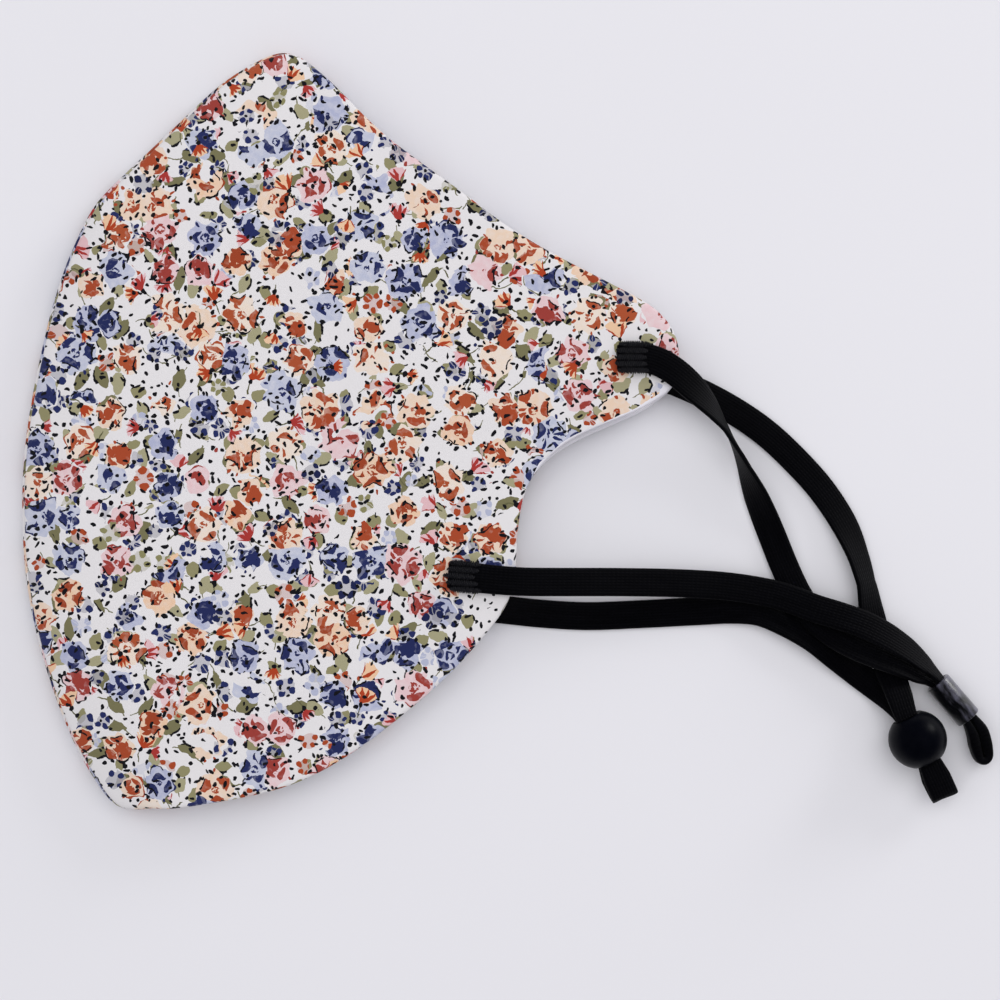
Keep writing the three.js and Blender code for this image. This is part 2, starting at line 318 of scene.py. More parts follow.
@dataclass(frozen=True)
class Spot:
    """A place on the cloth, seen in the turned frame of its nearest motif, in millimetres."""

    graph: Graph
    x: Wire
    y: Wire
    seeds: tuple[Wire, Wire, Wire]
    key: Wire

    def petals(self, count: Wire | float) -> Petals:
        """Splits the motif into petals round its middle.

        Args:
            count: how many petals it has.

        Returns:
            The place in the nearest petal.
        """
        graph = self.graph
        reach = (self.x.squared() + self.y.squared()).root()
        turn = graph.math("ARCTAN2", self.y, self.x)
        place = turn * count / math.tau
        number = graph.math("ROUND", place)
        off = (place - number) * math.tau / count
        key = graph.joined(number + 0.5, self.key)
        made = graph.node("ShaderNodeTexWhiteNoise", {"Vector": key}, noise_dimensions="2D")
        seeds = graph.parts(Wire(graph, made.outputs["Color"]))
        return Petals(reach, turn, reach * off.cosine(), reach * off.sine(), seeds)


@dataclass
class Canvas:
    """The cloth as it is painted: the place on it in millimetres, the colour so far, and the blooms."""

    graph: Graph
    place: Wire
    colour: Wire | Colour
    taken: Wire | float = 0.0

    def lay(self, mask: Wire, colour: Wire | Colour) -> None:
        """Paints a colour over what is there, as far as a mask lets it."""
        self.colour = self.graph.mix(mask, self.colour, colour)

    def noise(self, scale: float, detail: float = 2.0) -> Wire:
        """Soft noise over the cloth."""
        return self.graph.noise(self.place, scale, detail)[0]

    def room(self, spot: Spot, shown: float, shy: float) -> Wire:
        """A mask of the motifs that are shown; the shy ones aren't where there is a bloom."""
        return (spot.seeds[2] < shown) * (1.0 - self.taken * (spot.seeds[1] < shy))


@dataclass(frozen=True)
class Scatter:
    """Motifs spread over the cloth, one to a cell."""

    cell: float
    shift: Range
    looseness: float
    key_steps: Range = (57.0, 31.0)

    def spot(self, canvas: Canvas) -> Spot:
        """The place on the cloth, seen from its own motif.

        Args:
            canvas: the cloth.

        Returns:
            The spot.
        """
        graph = canvas.graph
        at = graph.vector("MULTIPLY_ADD", canvas.place, (1 / self.cell,) * 3, (*self.shift, 0.0))
        inputs = {"Vector": at, "Scale": 1.0, "Randomness": self.looseness}
        cells = graph.node("ShaderNodeTexVoronoi", inputs, voronoi_dimensions="2D")
        away = graph.vector("SUBTRACT", at, Wire(graph, cells.outputs["Position"]))
        away = graph.vector("MULTIPLY", away, (self.cell,) * 3)
        seeds = graph.parts(Wire(graph, cells.outputs["Color"]))
        x, y, _ = graph.parts(graph.turned(away, seeds[0] * math.tau))
        key = seeds[1] * self.key_steps[0] + seeds[2] * self.key_steps[1]
        return Spot(graph, x, y, seeds, key)


@dataclass(frozen=True)
class Leaves:
    """Stems, and olive leaves with a dark stroke along one edge."""

    scatter: Scatter = Scatter(4.9, (2.6, 8.8), 0.85)
    half_length: Range = (1.4, 2.6)
    half_width: Range = (0.7, 1.35)
    shown_above: float = 0.7
    edge_out: float = 0.14
    edge_width: Range = (0.08, 0.24)
    edged_below: float = 0.72
    stem_width: float = 0.12
    stem_reach: float = 1.7
    stem_bow: float = 0.5
    stemmed_above: float = 0.45
    stem_colour: Colour = rgb("6C6A4A")
    greens: tuple[tuple[float, Colour], ...] = (
        (0.0, rgb("8C8764")),
        (0.4, rgb("A09B7C")),
        (0.7, rgb("747050")),
    )

    def paint(self, canvas: Canvas) -> None:
        """Paints the stems and then the leaves.

        Args:
            canvas: the cloth.
        """
        spot = self.scatter.spot(canvas)
        along = spot.x / spot.seeds[1].between(*self.half_length)
        body = along.hump()
        width = canvas.graph.math("POWER", body, 0.7) * spot.seeds[2].between(*self.half_width)
        shown = (spot.seeds[2] + canvas.noise(CLEARINGS)) > self.shown_above
        part = abs(along - (spot.seeds[0] - 0.5)) < 0.5
        edge = abs(spot.y - width - self.edge_out) < body.between(*self.edge_width)
        edge = edge * (body > 0.2) * shown * part
        stem = abs(spot.y + along.squared() * self.stem_bow) < self.stem_width
        stem = stem * (abs(along) < self.stem_reach)
        canvas.lay(stem * (spot.seeds[1] > self.stemmed_above), self.stem_colour)
        canvas.lay((abs(spot.y) < width) * shown, canvas.graph.steps(spot.seeds[1], self.greens))
        canvas.lay(edge * (spot.seeds[0] < self.edged_below), INK)


@dataclass(frozen=True)
class Bloom:
    """The nearest bloom: the place in it, how far out that is as a share, and its colours."""

    spot: Spot
    petal: Petals
    count: Wire
    size: Wire
    share: Wire
    rim: Wire
    side: Wire
    tone: Wire
    light: Wire
    dark: Wire


@dataclass(frozen=True)
class Blooms:
    """Large blooms: a soft pad, filled petals to one side, brush strokes and a ring of dashes."""

    scatter: Scatter = Scatter(8.2, (0.3, 0.7), 0.68)
    petal_count: Range = (5.0, 7.99)
    size: Range = (2.8, 4.3)
    missing_above: float = 0.92
    clear_below: float = 0.4
    clear_weight: float = 0.35
    beyond: float = 9.0
    raggedness: float = 0.6
    rim: Range = (0.84, 0.98)
    scallop: float = 0.07
    paleness: float = 0.62
    core: Range = (0.08, 0.72)
    core_off: float = 0.34
    cored_below: float = 0.36
    petal_length: Range = (0.24, 0.36)
    petal_width: Range = (0.22, 0.34)
    petal_middle: float = 0.64
    one_sided: float = 0.38
    filled_above: float = 1.04
    vein_width: float = 0.34
    veined_above: float = 0.7
    brush_strokes: float = 3.0
    brush_place: Range = (0.3, 0.72)
    brush_length: Range = (0.3, 0.5)
    brush_width: float = 0.205
    brushed_above: float = 0.24
    line_off: float = 0.22
    line_width: float = 0.14
    lined_above: float = 0.62
    dash_place: Range = (0.8, 1.08)
    dash_length: float = 0.11
    dash_width: float = 0.27
    dashed_above: float = 0.46
    heart: float = 0.2
    kinds: tuple[tuple[float, Colour, Colour], ...] = (
        (0.0, rgb("E2C8B2"), rgb("A24527")),
        (0.24, rgb("AAAEC8"), rgb("1F2756")),
        (0.46, rgb("E4D3C4"), rgb("A54D2D")),
        (0.62, rgb("DDBEC2"), rgb("973A33")),
        (0.74, rgb("B6BACE"), rgb("21295A")),
        (0.88, rgb("E2BFA2"), rgb("983F22")),
    )

    def paint(self, canvas: Canvas) -> None:
        """Paints the blooms, and marks on the cloth where they are.

        Args:
            canvas: the cloth.
        """
        bloom = self.nearest(canvas)
        self.paint_pad(canvas, bloom)
        self.paint_petals(canvas, bloom)
        self.paint_brushwork(canvas, bloom)
        heart = (bloom.share < self.heart) * (canvas.noise(1.6) > 0.47)
        canvas.lay(heart, bloom.dark)
        canvas.taken = bloom.share < 1.02

    def nearest(self, canvas: Canvas) -> Bloom:
        """Works out the nearest bloom; one that is missing lies beyond every share.

        Args:
            canvas: the cloth.

        Returns:
            The bloom.
        """
        graph = canvas.graph
        spot = self.scatter.spot(canvas)
        kind = spot.seeds[1]
        count = graph.math("FLOOR", spot.seeds[2].between(*self.petal_count))
        petal = spot.petals(count)
        size = spot.seeds[2].between(*self.size)
        clear = (canvas.noise(CLEARINGS) < self.clear_below) * self.clear_weight
        missing = (spot.seeds[0] + clear) > self.missing_above
        ragged = (canvas.noise(0.32, 1.0) - 0.5) * self.raggedness
        share = petal.reach / size + ragged + missing * self.beyond
        rim = petal.seeds[2].between(*self.rim) + (petal.turn * count).cosine() * self.scallop
        tone = canvas.noise(0.8)
        light = graph.steps(kind, [(start, pad) for start, pad, _ in self.kinds])
        light = graph.mix((tone - 0.35) * 1.4, light, graph.mix(self.paleness, light, GROUND))
        dark = graph.steps(kind, [(start, stroke) for start, _, stroke in self.kinds])
        side = petal.turn.cosine()
        return Bloom(spot, petal, count, size, share, rim, side, tone, light, dark)

    def paint_pad(self, canvas: Canvas, bloom: Bloom) -> None:
        """Paints the pad, and a lopsided dark core on some.

        Args:
            canvas: the cloth.
            bloom: the nearest bloom.
        """
        canvas.lay(bloom.share < bloom.rim, bloom.light)
        off = bloom.share + bloom.side * self.core_off
        core = off < bloom.petal.seeds[0].between(*self.core)
        canvas.lay(core * (bloom.spot.seeds[2] < self.cored_below), bloom.dark)

    def paint_petals(self, canvas: Canvas, bloom: Bloom) -> None:
        """Paints the filled petals, a stroke along some petals, and an arc round the end of a few.

        Args:
            canvas: the cloth.
            bloom: the nearest bloom.
        """
        mix = canvas.graph.mix
        petal, share, dark = bloom.petal, bloom.share, bloom.dark
        filled = (petal.seeds[0] + bloom.side * self.one_sided) > self.filled_above
        long = (share - self.petal_middle) / petal.seeds[1].between(*self.petal_length)
        wide = petal.across / bloom.size / petal.seeds[2].between(*self.petal_width)
        blade = ((long.squared() + wide.squared()) < 1.0) * filled
        along = (share - petal.seeds[1].between(0.5, 0.66)) / 0.24
        curl = (petal.seeds[2] - 0.5) * along.squared() * 1.5
        bent = petal.across + (petal.seeds[0] - 0.5) * 0.9 + curl
        vein = abs(bent) < (along.hump() * self.vein_width)
        tipped = mix((share > 0.7) * (petal.seeds[1] > 0.5), dark, INK)
        arc = abs(share - (bloom.rim - 0.04)) < (0.075 - abs(petal.across) * 0.04)
        canvas.lay(blade, mix(bloom.tone * 0.5, dark, bloom.light))
        canvas.lay(blade * (share > 0.42) * (abs(bent) > 0.3), dark)
        canvas.lay(vein * (petal.seeds[2] > self.veined_above), mix(0.6, dark, tipped))
        canvas.lay(arc * (petal.seeds[1] > 0.86), mix(petal.seeds[0] > 0.5, dark, INK))

    def paint_brushwork(self, canvas: Canvas, bloom: Bloom) -> None:
        """Paints the bold curved strokes with a thin line along some, and the ring of dashes.

        Args:
            canvas: the cloth.
            bloom: the nearest bloom.
        """
        mix = canvas.graph.mix
        brush = bloom.spot.petals(self.brush_strokes)
        sweep = brush.across / bloom.size / brush.seeds[1].between(*self.brush_length)
        bow = (brush.seeds[2] - 0.5) * brush.across.squared() * 0.9
        swerve = brush.out - bloom.size * brush.seeds[0].between(*self.brush_place) - bow
        heavy = sweep.hump().root() * (sweep * (brush.seeds[0] - 0.5) + 0.85) * bloom.size
        swirl = abs(swerve) < (heavy * self.brush_width)
        swirl = swirl * (brush.seeds[1] > self.brushed_above) * (bloom.share < 1.0)
        line = abs(swerve - heavy * self.line_off) < self.line_width
        line = line * (abs(sweep) < 0.9) * (brush.seeds[2] > self.lined_above)
        ring = bloom.spot.petals(bloom.count * 2.0)
        away = ring.reach / bloom.size - ring.seeds[1].between(*self.dash_place)
        oval = (away / self.dash_length).hump().root()
        dash = abs(ring.across + (ring.seeds[0] - 0.5) * 0.5) < (oval * self.dash_width)
        dash = dash * (ring.seeds[2] > self.dashed_above)
        canvas.lay(swirl, mix((bloom.tone - 0.5) * 0.8, bloom.dark, bloom.light))
        canvas.lay(line * (bloom.share < 1.1), INK)
        canvas.lay(dash, mix(ring.seeds[0] > 0.3, bloom.dark, INK))


@dataclass(frozen=True)
class Florets:
    """Small flowers with round petals, mostly between the blooms."""

    scatter: Scatter = Scatter(5.7, (4.1, 2.3), 0.8)
    petal_count: Range = (4.0, 6.99)
    size: Range = (0.85, 1.4)
    petal_middle: float = 1.15
    petal_length: Range = (0.45, 0.66)
    petal_width: Range = (0.4, 0.62)
    vein_width: float = 0.08
    shown: float = 0.76
    shy: float = 0.86
    colours: tuple[tuple[float, Colour], ...] = (
        (0.0, rgb("212A5C")),
        (0.5, rgb("ADB1C8")),
        (0.64, rgb("A24423")),
        (0.78, rgb("86825B")),
        (0.88, rgb("1A214A")),
    )

    def paint(self, canvas: Canvas) -> None:
        """Paints a pale halo, the petals over it, and a vein down a few of them.

        Args:
            canvas: the cloth.
        """
        graph = canvas.graph
        spot = self.scatter.spot(canvas)
        petal = spot.petals(graph.math("FLOOR", spot.seeds[2].between(*self.petal_count)))
        size = spot.seeds[0].between(*self.size)
        shown = canvas.room(spot, self.shown, self.shy)
        long = (petal.out / size - self.petal_middle) / petal.seeds[0].between(*self.petal_length)
        wide = petal.across / size / petal.seeds[1].between(*self.petal_width)
        blade = ((long.squared() + wide.squared()) < 1.0) * shown * (petal.seeds[2] > 0.08)
        colour = graph.steps(spot.seeds[1], self.colours)
        pale = graph.mix(0.55, colour, GROUND)
        halo = ((petal.reach / size) < (petal.seeds[2] * 0.5 + self.petal_middle)) * shown
        vein = (abs(petal.across) < self.vein_width) * blade * (petal.seeds[0] > 0.82)
        canvas.lay(halo * 0.75, pale)
        canvas.lay(blade, colour)
        canvas.lay(vein * 0.8, pale)


@dataclass(frozen=True)
class Buds:
    """Tulip buds: a pale fan with darker strokes that spread from its foot, on a thin stalk."""

    scatter: Scatter = Scatter(7.2, (7.7, 5.2), 0.85)
    size: Range = (2.4, 3.9)
    foot: float = 1.4
    rays: float = 15.0
    spread: float = 0.72
    stalk_width: float = 0.13
    stalk_length: float = 2.4
    stalk_bow: float = 0.08
    shown: float = 0.6
    shy: float = 0.78
    stalk_colour: Colour = rgb("5E5C3F")
    pales: tuple[Colour, Colour] = (rgb("DAB4B9"), rgb("E3BE9D"))
    deeps: tuple[Colour, Colour] = (rgb("A3332F"), rgb("A83D1D"))

    def paint(self, canvas: Canvas) -> None:
        """Paints the stalk, the fan, its strokes and its foot.

        Args:
            canvas: the cloth.
        """
        spot = self.scatter.spot(canvas)
        spot = replace(spot, x=spot.x + self.foot)
        ray = spot.petals(self.rays)
        size = spot.seeds[0].between(*self.size)
        shown = canvas.room(spot, self.shown, self.shy)
        fan = (abs(ray.turn) < self.spread) * (ray.reach < (size * ray.seeds[0].between(0.84, 1.04)))
        tip = ray.reach / size
        taper = canvas.graph.math("MAXIMUM", (1.0 - tip) * (tip - 0.05), 0.0)
        stroke = (abs(ray.across) < (taper * 1.5)) * (abs(ray.turn) < 0.8) * (ray.seeds[1] > 0.25)
        stalk = abs(spot.y + spot.x.squared() * self.stalk_bow) < self.stalk_width
        stalk = stalk * (spot.x < 0.0) * (spot.x > -self.stalk_length)
        rusty = spot.seeds[1] > 0.5
        canvas.lay(stalk * shown, self.stalk_colour)
        canvas.lay(fan * shown, canvas.graph.mix(rusty, *self.pales))
        canvas.lay(stroke * shown, canvas.graph.mix(rusty, *self.deeps))
        canvas.lay((ray.reach < 0.5) * (spot.seeds[2] < 0.5) * shown, INK)


@dataclass(frozen=True)
class Dashes:
    """Short dark dashes and dots that lie about everywhere, in loose crowds."""

    scatter: Scatter = Scatter(2.2, (1.9, 6.4), 0.9)
    half_length: Range = (0.32, 0.7)
    half_width: Range = (0.26, 0.38)
    crowd_scale: float = 0.16
    shown_above: float = 0.66

    def paint(self, canvas: Canvas) -> None:
        """Paints the dashes.

        Args:
            canvas: the cloth.
        """
        spot = self.scatter.spot(canvas)
        along = spot.x / spot.seeds[1].between(*self.half_length)
        width = along.hump().root() * spot.seeds[2].between(*self.half_width)
        shown = (spot.seeds[0] * 0.6 + canvas.noise(self.crowd_scale)) > self.shown_above
        canvas.lay((abs(spot.y) < width) * shown, INK)


@dataclass(frozen=True)
class FloralPrint:
    """White cotton with a small all-over print of painted flowers, leaves and dashes."""

    turned_in: Colour = rgb("E6E4EC")
    hem_width: float = 0.3
    hem_waver: float = 1.3
    hem_taper: float = 0.1
    hem_span: Range = (-12.0, 8.5)
    wavers: tuple[Range, ...] = ((0.45, 0.9), (1.7, 0.26))

    def material(self) -> Material:
        """Builds the printed cotton."""
        graph = Graph("printed_cotton")
        cloth = graph.cloth()
        canvas = Canvas(graph, self.by_hand(graph, cloth), GROUND)
        for motif in (Leaves(), Blooms(), Florets(), Buds(), Dashes()):
            motif.paint(canvas)
        canvas.lay(self.hem(graph, cloth), self.turned_in)
        weave(graph, cloth)
        feel = {"Roughness": 0.88, "Sheen_Weight": 0.12, "Specular_IOR_Level": 0.25}
        return graph.finish(canvas.colour, **feel)

    def hem(self, graph: Graph, cloth: Wire) -> Wire:
        """A mask of the plain edge that is turned over on the ear side of the upper lobe.

        Args:
            graph: the material's nodes.
            cloth: the place on the cloth, in millimetres.

        Returns:
            The mask.
        """
        x, y, _ = graph.parts(graph.place())
        uneven, _ = graph.noise(cloth, 0.25)
        width = uneven * self.hem_waver + y * self.hem_taper + self.hem_width
        low, high = self.hem_span
        return ((graph.attribute("from_rim") * PER_MM) < width) * (x > 20.0) * (y > low) * (y < high)

    def by_hand(self, graph: Graph, cloth: Wire) -> Wire:
        """The place on the cloth, wavered so that every painted edge is a little uneven.

        Args:
            graph: the material's nodes.
            cloth: the place on the cloth, in millimetres.

        Returns:
            The wavered place.
        """
        for scale, amount in self.wavers:
            _, waver = graph.noise(cloth, scale, 1.0)
            moved = graph.vector("SUBTRACT", waver, (0.5, 0.5, 0.5))
            cloth = graph.vector("MULTIPLY_ADD", moved, (amount, amount, 0.0), cloth)
        return cloth


def weave(graph: Graph, cloth: Wire, pitch: float = 0.34, depth: float = 0.03 * MM) -> None:
    """Gives a cloth the fine crossed threads of plain cotton.

    Args:
        graph: the material's nodes.
        cloth: the place on the cloth, in millimetres.
        pitch: the distance between threads, in millimetres.
        depth: how far the threads stand out, in metres.
    """
    x, y, _ = graph.parts(cloth)
    warp = (x * (math.tau / pitch)).sine()
    weft = (y * (math.tau / pitch)).sine()
    slub, _ = graph.noise(cloth, 1.3)
    graph.bump(warp * weft * 0.5 + slub * 0.6, depth)


@dataclass(frozen=True)
class WhiteLining:
    """The plain white cotton inside the mask."""

    colour: Colour = rgb("EFEDF2")
    shade: Colour = rgb("E2DFE8")

    def material(self) -> Material:
        """Builds the lining."""
        graph = Graph("white_lining")
        cloth = graph.cloth()
        tone, _ = graph.noise(cloth, 0.2)
        weave(graph, cloth)
        colour = graph.mix(tone, self.colour, self.shade)
        return graph.finish(colour, Roughness=0.92, Sheen_Weight=0.1)


# ---------------------------------------------------------------- the other finishes


@dataclass(frozen=True)
class KnittedElastic:
    """Black flat elastic, with fine ribs along it and knitted rows across it."""

    colour: Colour = rgb("020205")
    # a lighter tone where the ribs and rows stand up, in patches
    crest_tone: Colour = rgb("0A0A10")
    rib_pitch: float = 0.56
    row_pitch: float = 0.9
    depth: float = 0.06 * MM

    def material(self) -> Material:
        """Builds the elastic."""
        graph = Graph("black_elastic")
        across = graph.attribute("across") * PER_MM
        along = graph.attribute("along") * PER_MM
        rib = (across * (math.tau / self.rib_pitch)).sine()
        row = (along * (math.tau / self.row_pitch) + rib * 1.2).sine()
        place = graph.joined(across * 1.2, along * 0.16)
        tone, _ = graph.noise(place, 1.0, 3.0)
        height = rib * 0.34 + row * 0.2 + 0.5
        graph.bump(height, self.depth)
        colour = graph.mix(height * tone, self.colour, self.crest_tone)
        return graph.finish(colour, Roughness=0.66, Sheen_Weight=0.012, Specular_IOR_Level=0.16)


@dataclass(frozen=True)
class BlackThread:
    """Twisted black sewing thread, painted lighter on the crest of each twist as a painted highlight.
    """

    colour: Colour = rgb("040409")
    # the painted highlight on the crest of each twist
    light: Colour = rgb("10101A")
    twists: float = 24.0
    depth: float = 0.04 * MM

    def material(self) -> Material:
        """Builds the thread."""
        graph = Graph("black_thread")
        x, y, z = graph.parts(graph.place())
        twist = ((x + y * 1.4 + z) * self.twists).sine() * 0.5 + 0.5
        graph.bump(twist, self.depth)
        # painted highlight: lighter where each twist stands up
        colour = graph.mix(twist, self.colour, self.light)
        return graph.finish(colour, Roughness=0.5, Sheen_Weight=0.04, Specular_IOR_Level=0.4)


@dataclass(frozen=True)
class SoftRubber:
    """Grey glossy rubber, streaked along the sleeve, with a painted highlight down one side and painted
    shade down the other.
    """

    middle: Vector
    heading: float
    colour: Colour = rgb("07070C")
    cloud_and_highlight: Colour = rgb("4E4D5D")
    stretch: float = 0.36
    depth: float = 0.28 * MM

    def material(self) -> Material:
        """Builds the rubber."""
        graph = Graph("grey_rubber")
        place = graph.vector("SUBTRACT", graph.place(), self.middle * PER_MM)
        place = graph.turned(place, -math.radians(self.heading))
        streaked = graph.vector("MULTIPLY", place, (self.stretch, 1.0, 1.0))
        # the place across the sleeve, which paints a highlight down one side and shade down the other
        side = graph.parts(streaked)[1]
        streak, _ = graph.noise(streaked, 0.8, 3.0)
        grain, _ = graph.noise(streaked, 5.0, 3.0)
        graph.bump(streak * 0.8 + grain * 0.2, self.depth)
        # cloudy streaks, plus a painted highlight towards one side and painted shade towards the other
        colour = graph.mix((streak - 0.44) * 3.0 + side * 0.26, self.colour, self.cloud_and_highlight)
        shine = {"Coat_Weight": 1.0, "Coat_Roughness": 0.3, "Coat_IOR": 1.62}
        return graph.finish(colour, Roughness=0.4, **shine)


@dataclass(frozen=True)
class PolishedBead:
    """Black polished plastic with faint scuffs."""

    colour: Colour = rgb("020309")
    scuff: Colour = rgb("07080F")
    roughness: tuple[float, float] = (0.3, 0.44)
    depth: float = 0.03 * MM

    def material(self) -> Material:
        """Builds the bead's plastic."""
        graph = Graph("black_plastic")
        tone, _ = graph.noise(graph.place(), 0.5, 4.0)
        graph.bump(tone, self.depth)
        rough = tone.between(*self.roughness)
        colour = graph.mix(tone, self.colour, self.scuff)
        return graph.finish(colour, Roughness=rough, Specular_IOR_Level=0.07)


@dataclass(frozen=True)
class PaleFloor:
    """Matt pale board under the mask."""

    colour: Colour = rgb("E5E4E9")
    shade: Colour = rgb("E1E0E5")

    def material(self) -> Material:
        """Builds the floor's finish."""
        graph = Graph("pale_floor")
        tone, _ = graph.noise(graph.place(1.0), 6.0)
        return graph.finish(graph.mix(tone, self.colour, self.shade), Roughness=0.9)


# ---------------------------------------------------------------- meshes


def linked(name: str, data: ID) -> Object:
    """Makes an object and links it to the scene.

    Args:
        name: its name.
        data: its mesh, light or camera.

    Returns:
        The object.
    """
    made = bpy.data.objects.new(name, data)
    bpy.context.scene.collection.objects.link(made)
    return made


def basis(*columns: Vector) -> Matrix:
    """Makes a matrix from its columns.

    Args:
        columns: three directions and a place.

    Returns:
        The matrix.
    """
    made = Matrix([(*column, 0.0) for column in columns]).transposed()
    made[3][3] = 1.0
    return made


def new_mesh(name: str, bm: BMesh, *materials: Material) -> Mesh:
    """Makes a mesh from a bmesh, which it frees.

    Args:
        name: the mesh's name.
        bm: the shape.
        materials: the finishes of its slots.

    Returns:
        The mesh.
    """
    mesh = bpy.data.meshes.new(name)
    bm.to_mesh(mesh)
    bm.free()
    for material in materials:
        mesh.materials.append(material)
    return mesh


def new_piece(name: str, bm: BMesh, *materials: Material) -> Object:
    """Makes a smooth-shaded piece from a bmesh, which it frees.

    Args:
        name: the piece's name.
        bm: the shape, in place.
        materials: the finishes of its slots.

    Returns:
        The object, riding on the mask.
    """
    for face in bm.faces:
        face.smooth = True
    piece = linked(name, new_mesh(name, bm, *materials))
    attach(piece, ROOT)
    return piece


def subdivided(bm: BMesh, levels: int) -> BMesh:
    """Rounds a shape by subdivision and keeps its attributes.

    Args:
        bm: the shape, which it frees.
        levels: how many rounds.

    Returns:
        The rounded shape.
    """
    mesh = new_mesh("before", bm)
    piece = linked("before", mesh)
    rounding = piece.modifiers.new("rounding", "SUBSURF")
    rounding.levels = levels
    rounding.render_levels = levels
    seen = piece.evaluated_get(bpy.context.evaluated_depsgraph_get())
    after = bmesh.new()
    after.from_mesh(seen.to_mesh())
    seen.to_mesh_clear()
    bpy.data.objects.remove(piece)
    bpy.data.meshes.remove(mesh)
    return after


class Side(Enum):
    """Which way a half's printed side looks."""

    UP = 1
    DOWN = -1


@dataclass
class ClothHalf:
    """One half of the mask: a curved shell of cloth, printed outside and plain white inside."""

    node: str
    printed: Side
    seed: float
    wall: float = 1.6 * MM
    ripple: float = 0.35 * MM
    ripple_size: float = 21 * MM
    pucker: float = 0.16 * MM
    pucker_size: float = 0.3 * 21 * MM
    pucker_shift: float = 5 * MM
    pucker_inside: float = 0.3
    calm: float = 0.6
    pucker_reach: float = 5 * MM
    seam_out: float = 0.0
    seam_reach: float = 4 * MM
    seam_height: float = 7.2 * MM
    seam_fade: float = 1.2 * MM
    seam_drop: float = 0.4
    lowest: float = 0.02 * MM
    spread: float = 0.1
    bake_span: float = 0.168
    print_middle: Range = (0.47, 0.5)
    lining_share: float = 0.2
    lining_middle: Range = (0.86, 0.88)
    rounds: int = 2
    sheet_size: tuple[float, float] = (0.131, 0.152)
    sheet_area: float = 0.0125
    level: dict[BMVert, int] = field(default_factory=dict, repr=False)
    length: dict[BMVert, float] = field(default_factory=dict, repr=False)
    hub_of: dict[BMVert, BMVert] = field(default_factory=dict, repr=False)

    def build(self, outside: Material, inside: Material) -> Object:
        """Builds the half from its plain solid.

        Args:
            outside: the finish of the printed side and the rim.
            inside: the finish of the lining.

        Returns:
            The piece.
        """
        bm = bmesh.new()
        bm.from_mesh(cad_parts[self.node].data)
        for name in ("cloth", "OFBake"):
            bm.loops.layers.uv.new(name)
        bm.verts.layers.float.new("from_rim")
        bmesh.ops.remove_doubles(bm, verts=bm.verts, dist=1e-6)
        top, bottom = self.hubs(bm)
        self.walk_out((top, bottom))
        self.drop_diagonals(bm)
        self.mark(bm, top if self.printed is Side.UP else bottom)
        bm = subdivided(bm, self.rounds)
        self.soften(bm)
        piece = new_piece(f"{self.node}_cloth", bm, outside, inside)
        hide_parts(self.node)
        return piece

    def hubs(self, bm: BMesh) -> tuple[BMVert, BMVert]:
        """The upper and the lower vertex that all rings close on."""
        spoked = sorted(bm.verts, key=lambda v: -len(v.link_edges))[:2]
        return tuple(sorted(spoked, key=lambda v: -v.co.z))

    def walk_out(self, hubs: tuple[BMVert, BMVert]) -> None:
        """Numbers the rings out from both hubs at once, and measures the cloth out to each vertex.

        Args:
            hubs: the upper and the lower hub.
        """
        ring = list(hubs)
        for hub in hubs:
            self.level[hub], self.length[hub], self.hub_of[hub] = 0, 0.0, hub
        while ring:
            found = {}
            for vert in ring:
                for edge in vert.link_edges:
                    other = edge.other_vert(vert)
                    if other not in self.level:
                        found.setdefault(other, []).append(vert)
            for vert, inner in found.items():
                hub = self.hub_of[inner[0]]
                near = min(inner, key=lambda v: self.turn_between(v, vert, hub))
                self.level[vert] = self.level[near] + 1
                self.length[vert] = self.length[near] + (vert.co - near.co).length
                self.hub_of[vert] = hub
            ring = list(found)

    def turn_between(self, inner: BMVert, outer: BMVert, hub: BMVert) -> float:
        """How far apart two vertices lie round a hub, in plan, as an angle."""
        one, two = ((vert.co - hub.co).xy for vert in (inner, outer))
        return abs(one.angle(two)) if min(one.length, two.length) > 1e-6 else 0.0

    def drop_diagonals(self, bm: BMesh) -> None:
        """Turns the pairs of triangles between rings into four-sided faces.

        Args:
            bm: the shell.
        """
        diagonals = {}
        for vert in bm.verts:
            hub = self.hub_of[vert]
            for leads in (self.leads_in, self.leads_over):
                spokes = [e for e in vert.link_edges if leads(e.other_vert(vert), vert)]
                spokes.sort(key=lambda e: self.turn_between(e.other_vert(vert), vert, hub))
                diagonals.update(dict.fromkeys(spokes[1:]))
        bmesh.ops.dissolve_edges(bm, edges=list(diagonals), use_verts=False)

    def leads_over(self, other: BMVert, vert: BMVert) -> bool:
        """True if the way from a vertex to another goes over the rim, to the other side."""
        return self.hub_of[other] is not self.hub_of[vert]

    def leads_in(self, other: BMVert, vert: BMVert) -> bool:
        """True if the way from a vertex to another goes one ring inwards."""
        return not self.leads_over(other, vert) and self.level[other] == self.level[vert] - 1

    def mark(self, bm: BMesh, hub: BMVert) -> None:
        """Lays the cloth out flat in its maps, and marks the lining and each vertex's way from the rim.

        Args:
            bm: the shell.
            hub: the hub of the printed side.
        """
        cloth = bm.loops.layers.uv["cloth"]
        bake = bm.loops.layers.uv["OFBake"]
        inset = bm.verts.layers.float["from_rim"]
        outermost = max(self.level.values())
        rim = [v for v in bm.verts if self.level[v] == outermost]
        tree = kdtree.KDTree(len(rim))
        for number, vert in enumerate(rim):
            tree.insert(vert.co, number)
        tree.balance()
        for vert in bm.verts:
            vert[inset] = tree.find(vert.co)[2]
        for face in bm.faces:
            outer = [v for v in face.verts if self.hub_of[v] is hub]
            face.material_index = 0 if outer else 1
            for loop in face.loops:
                at = self.laid_out(loop.vert, hub, bool(outer))
                loop[cloth].uv = at
                loop[bake].uv = self.bake_place(at, bool(outer))

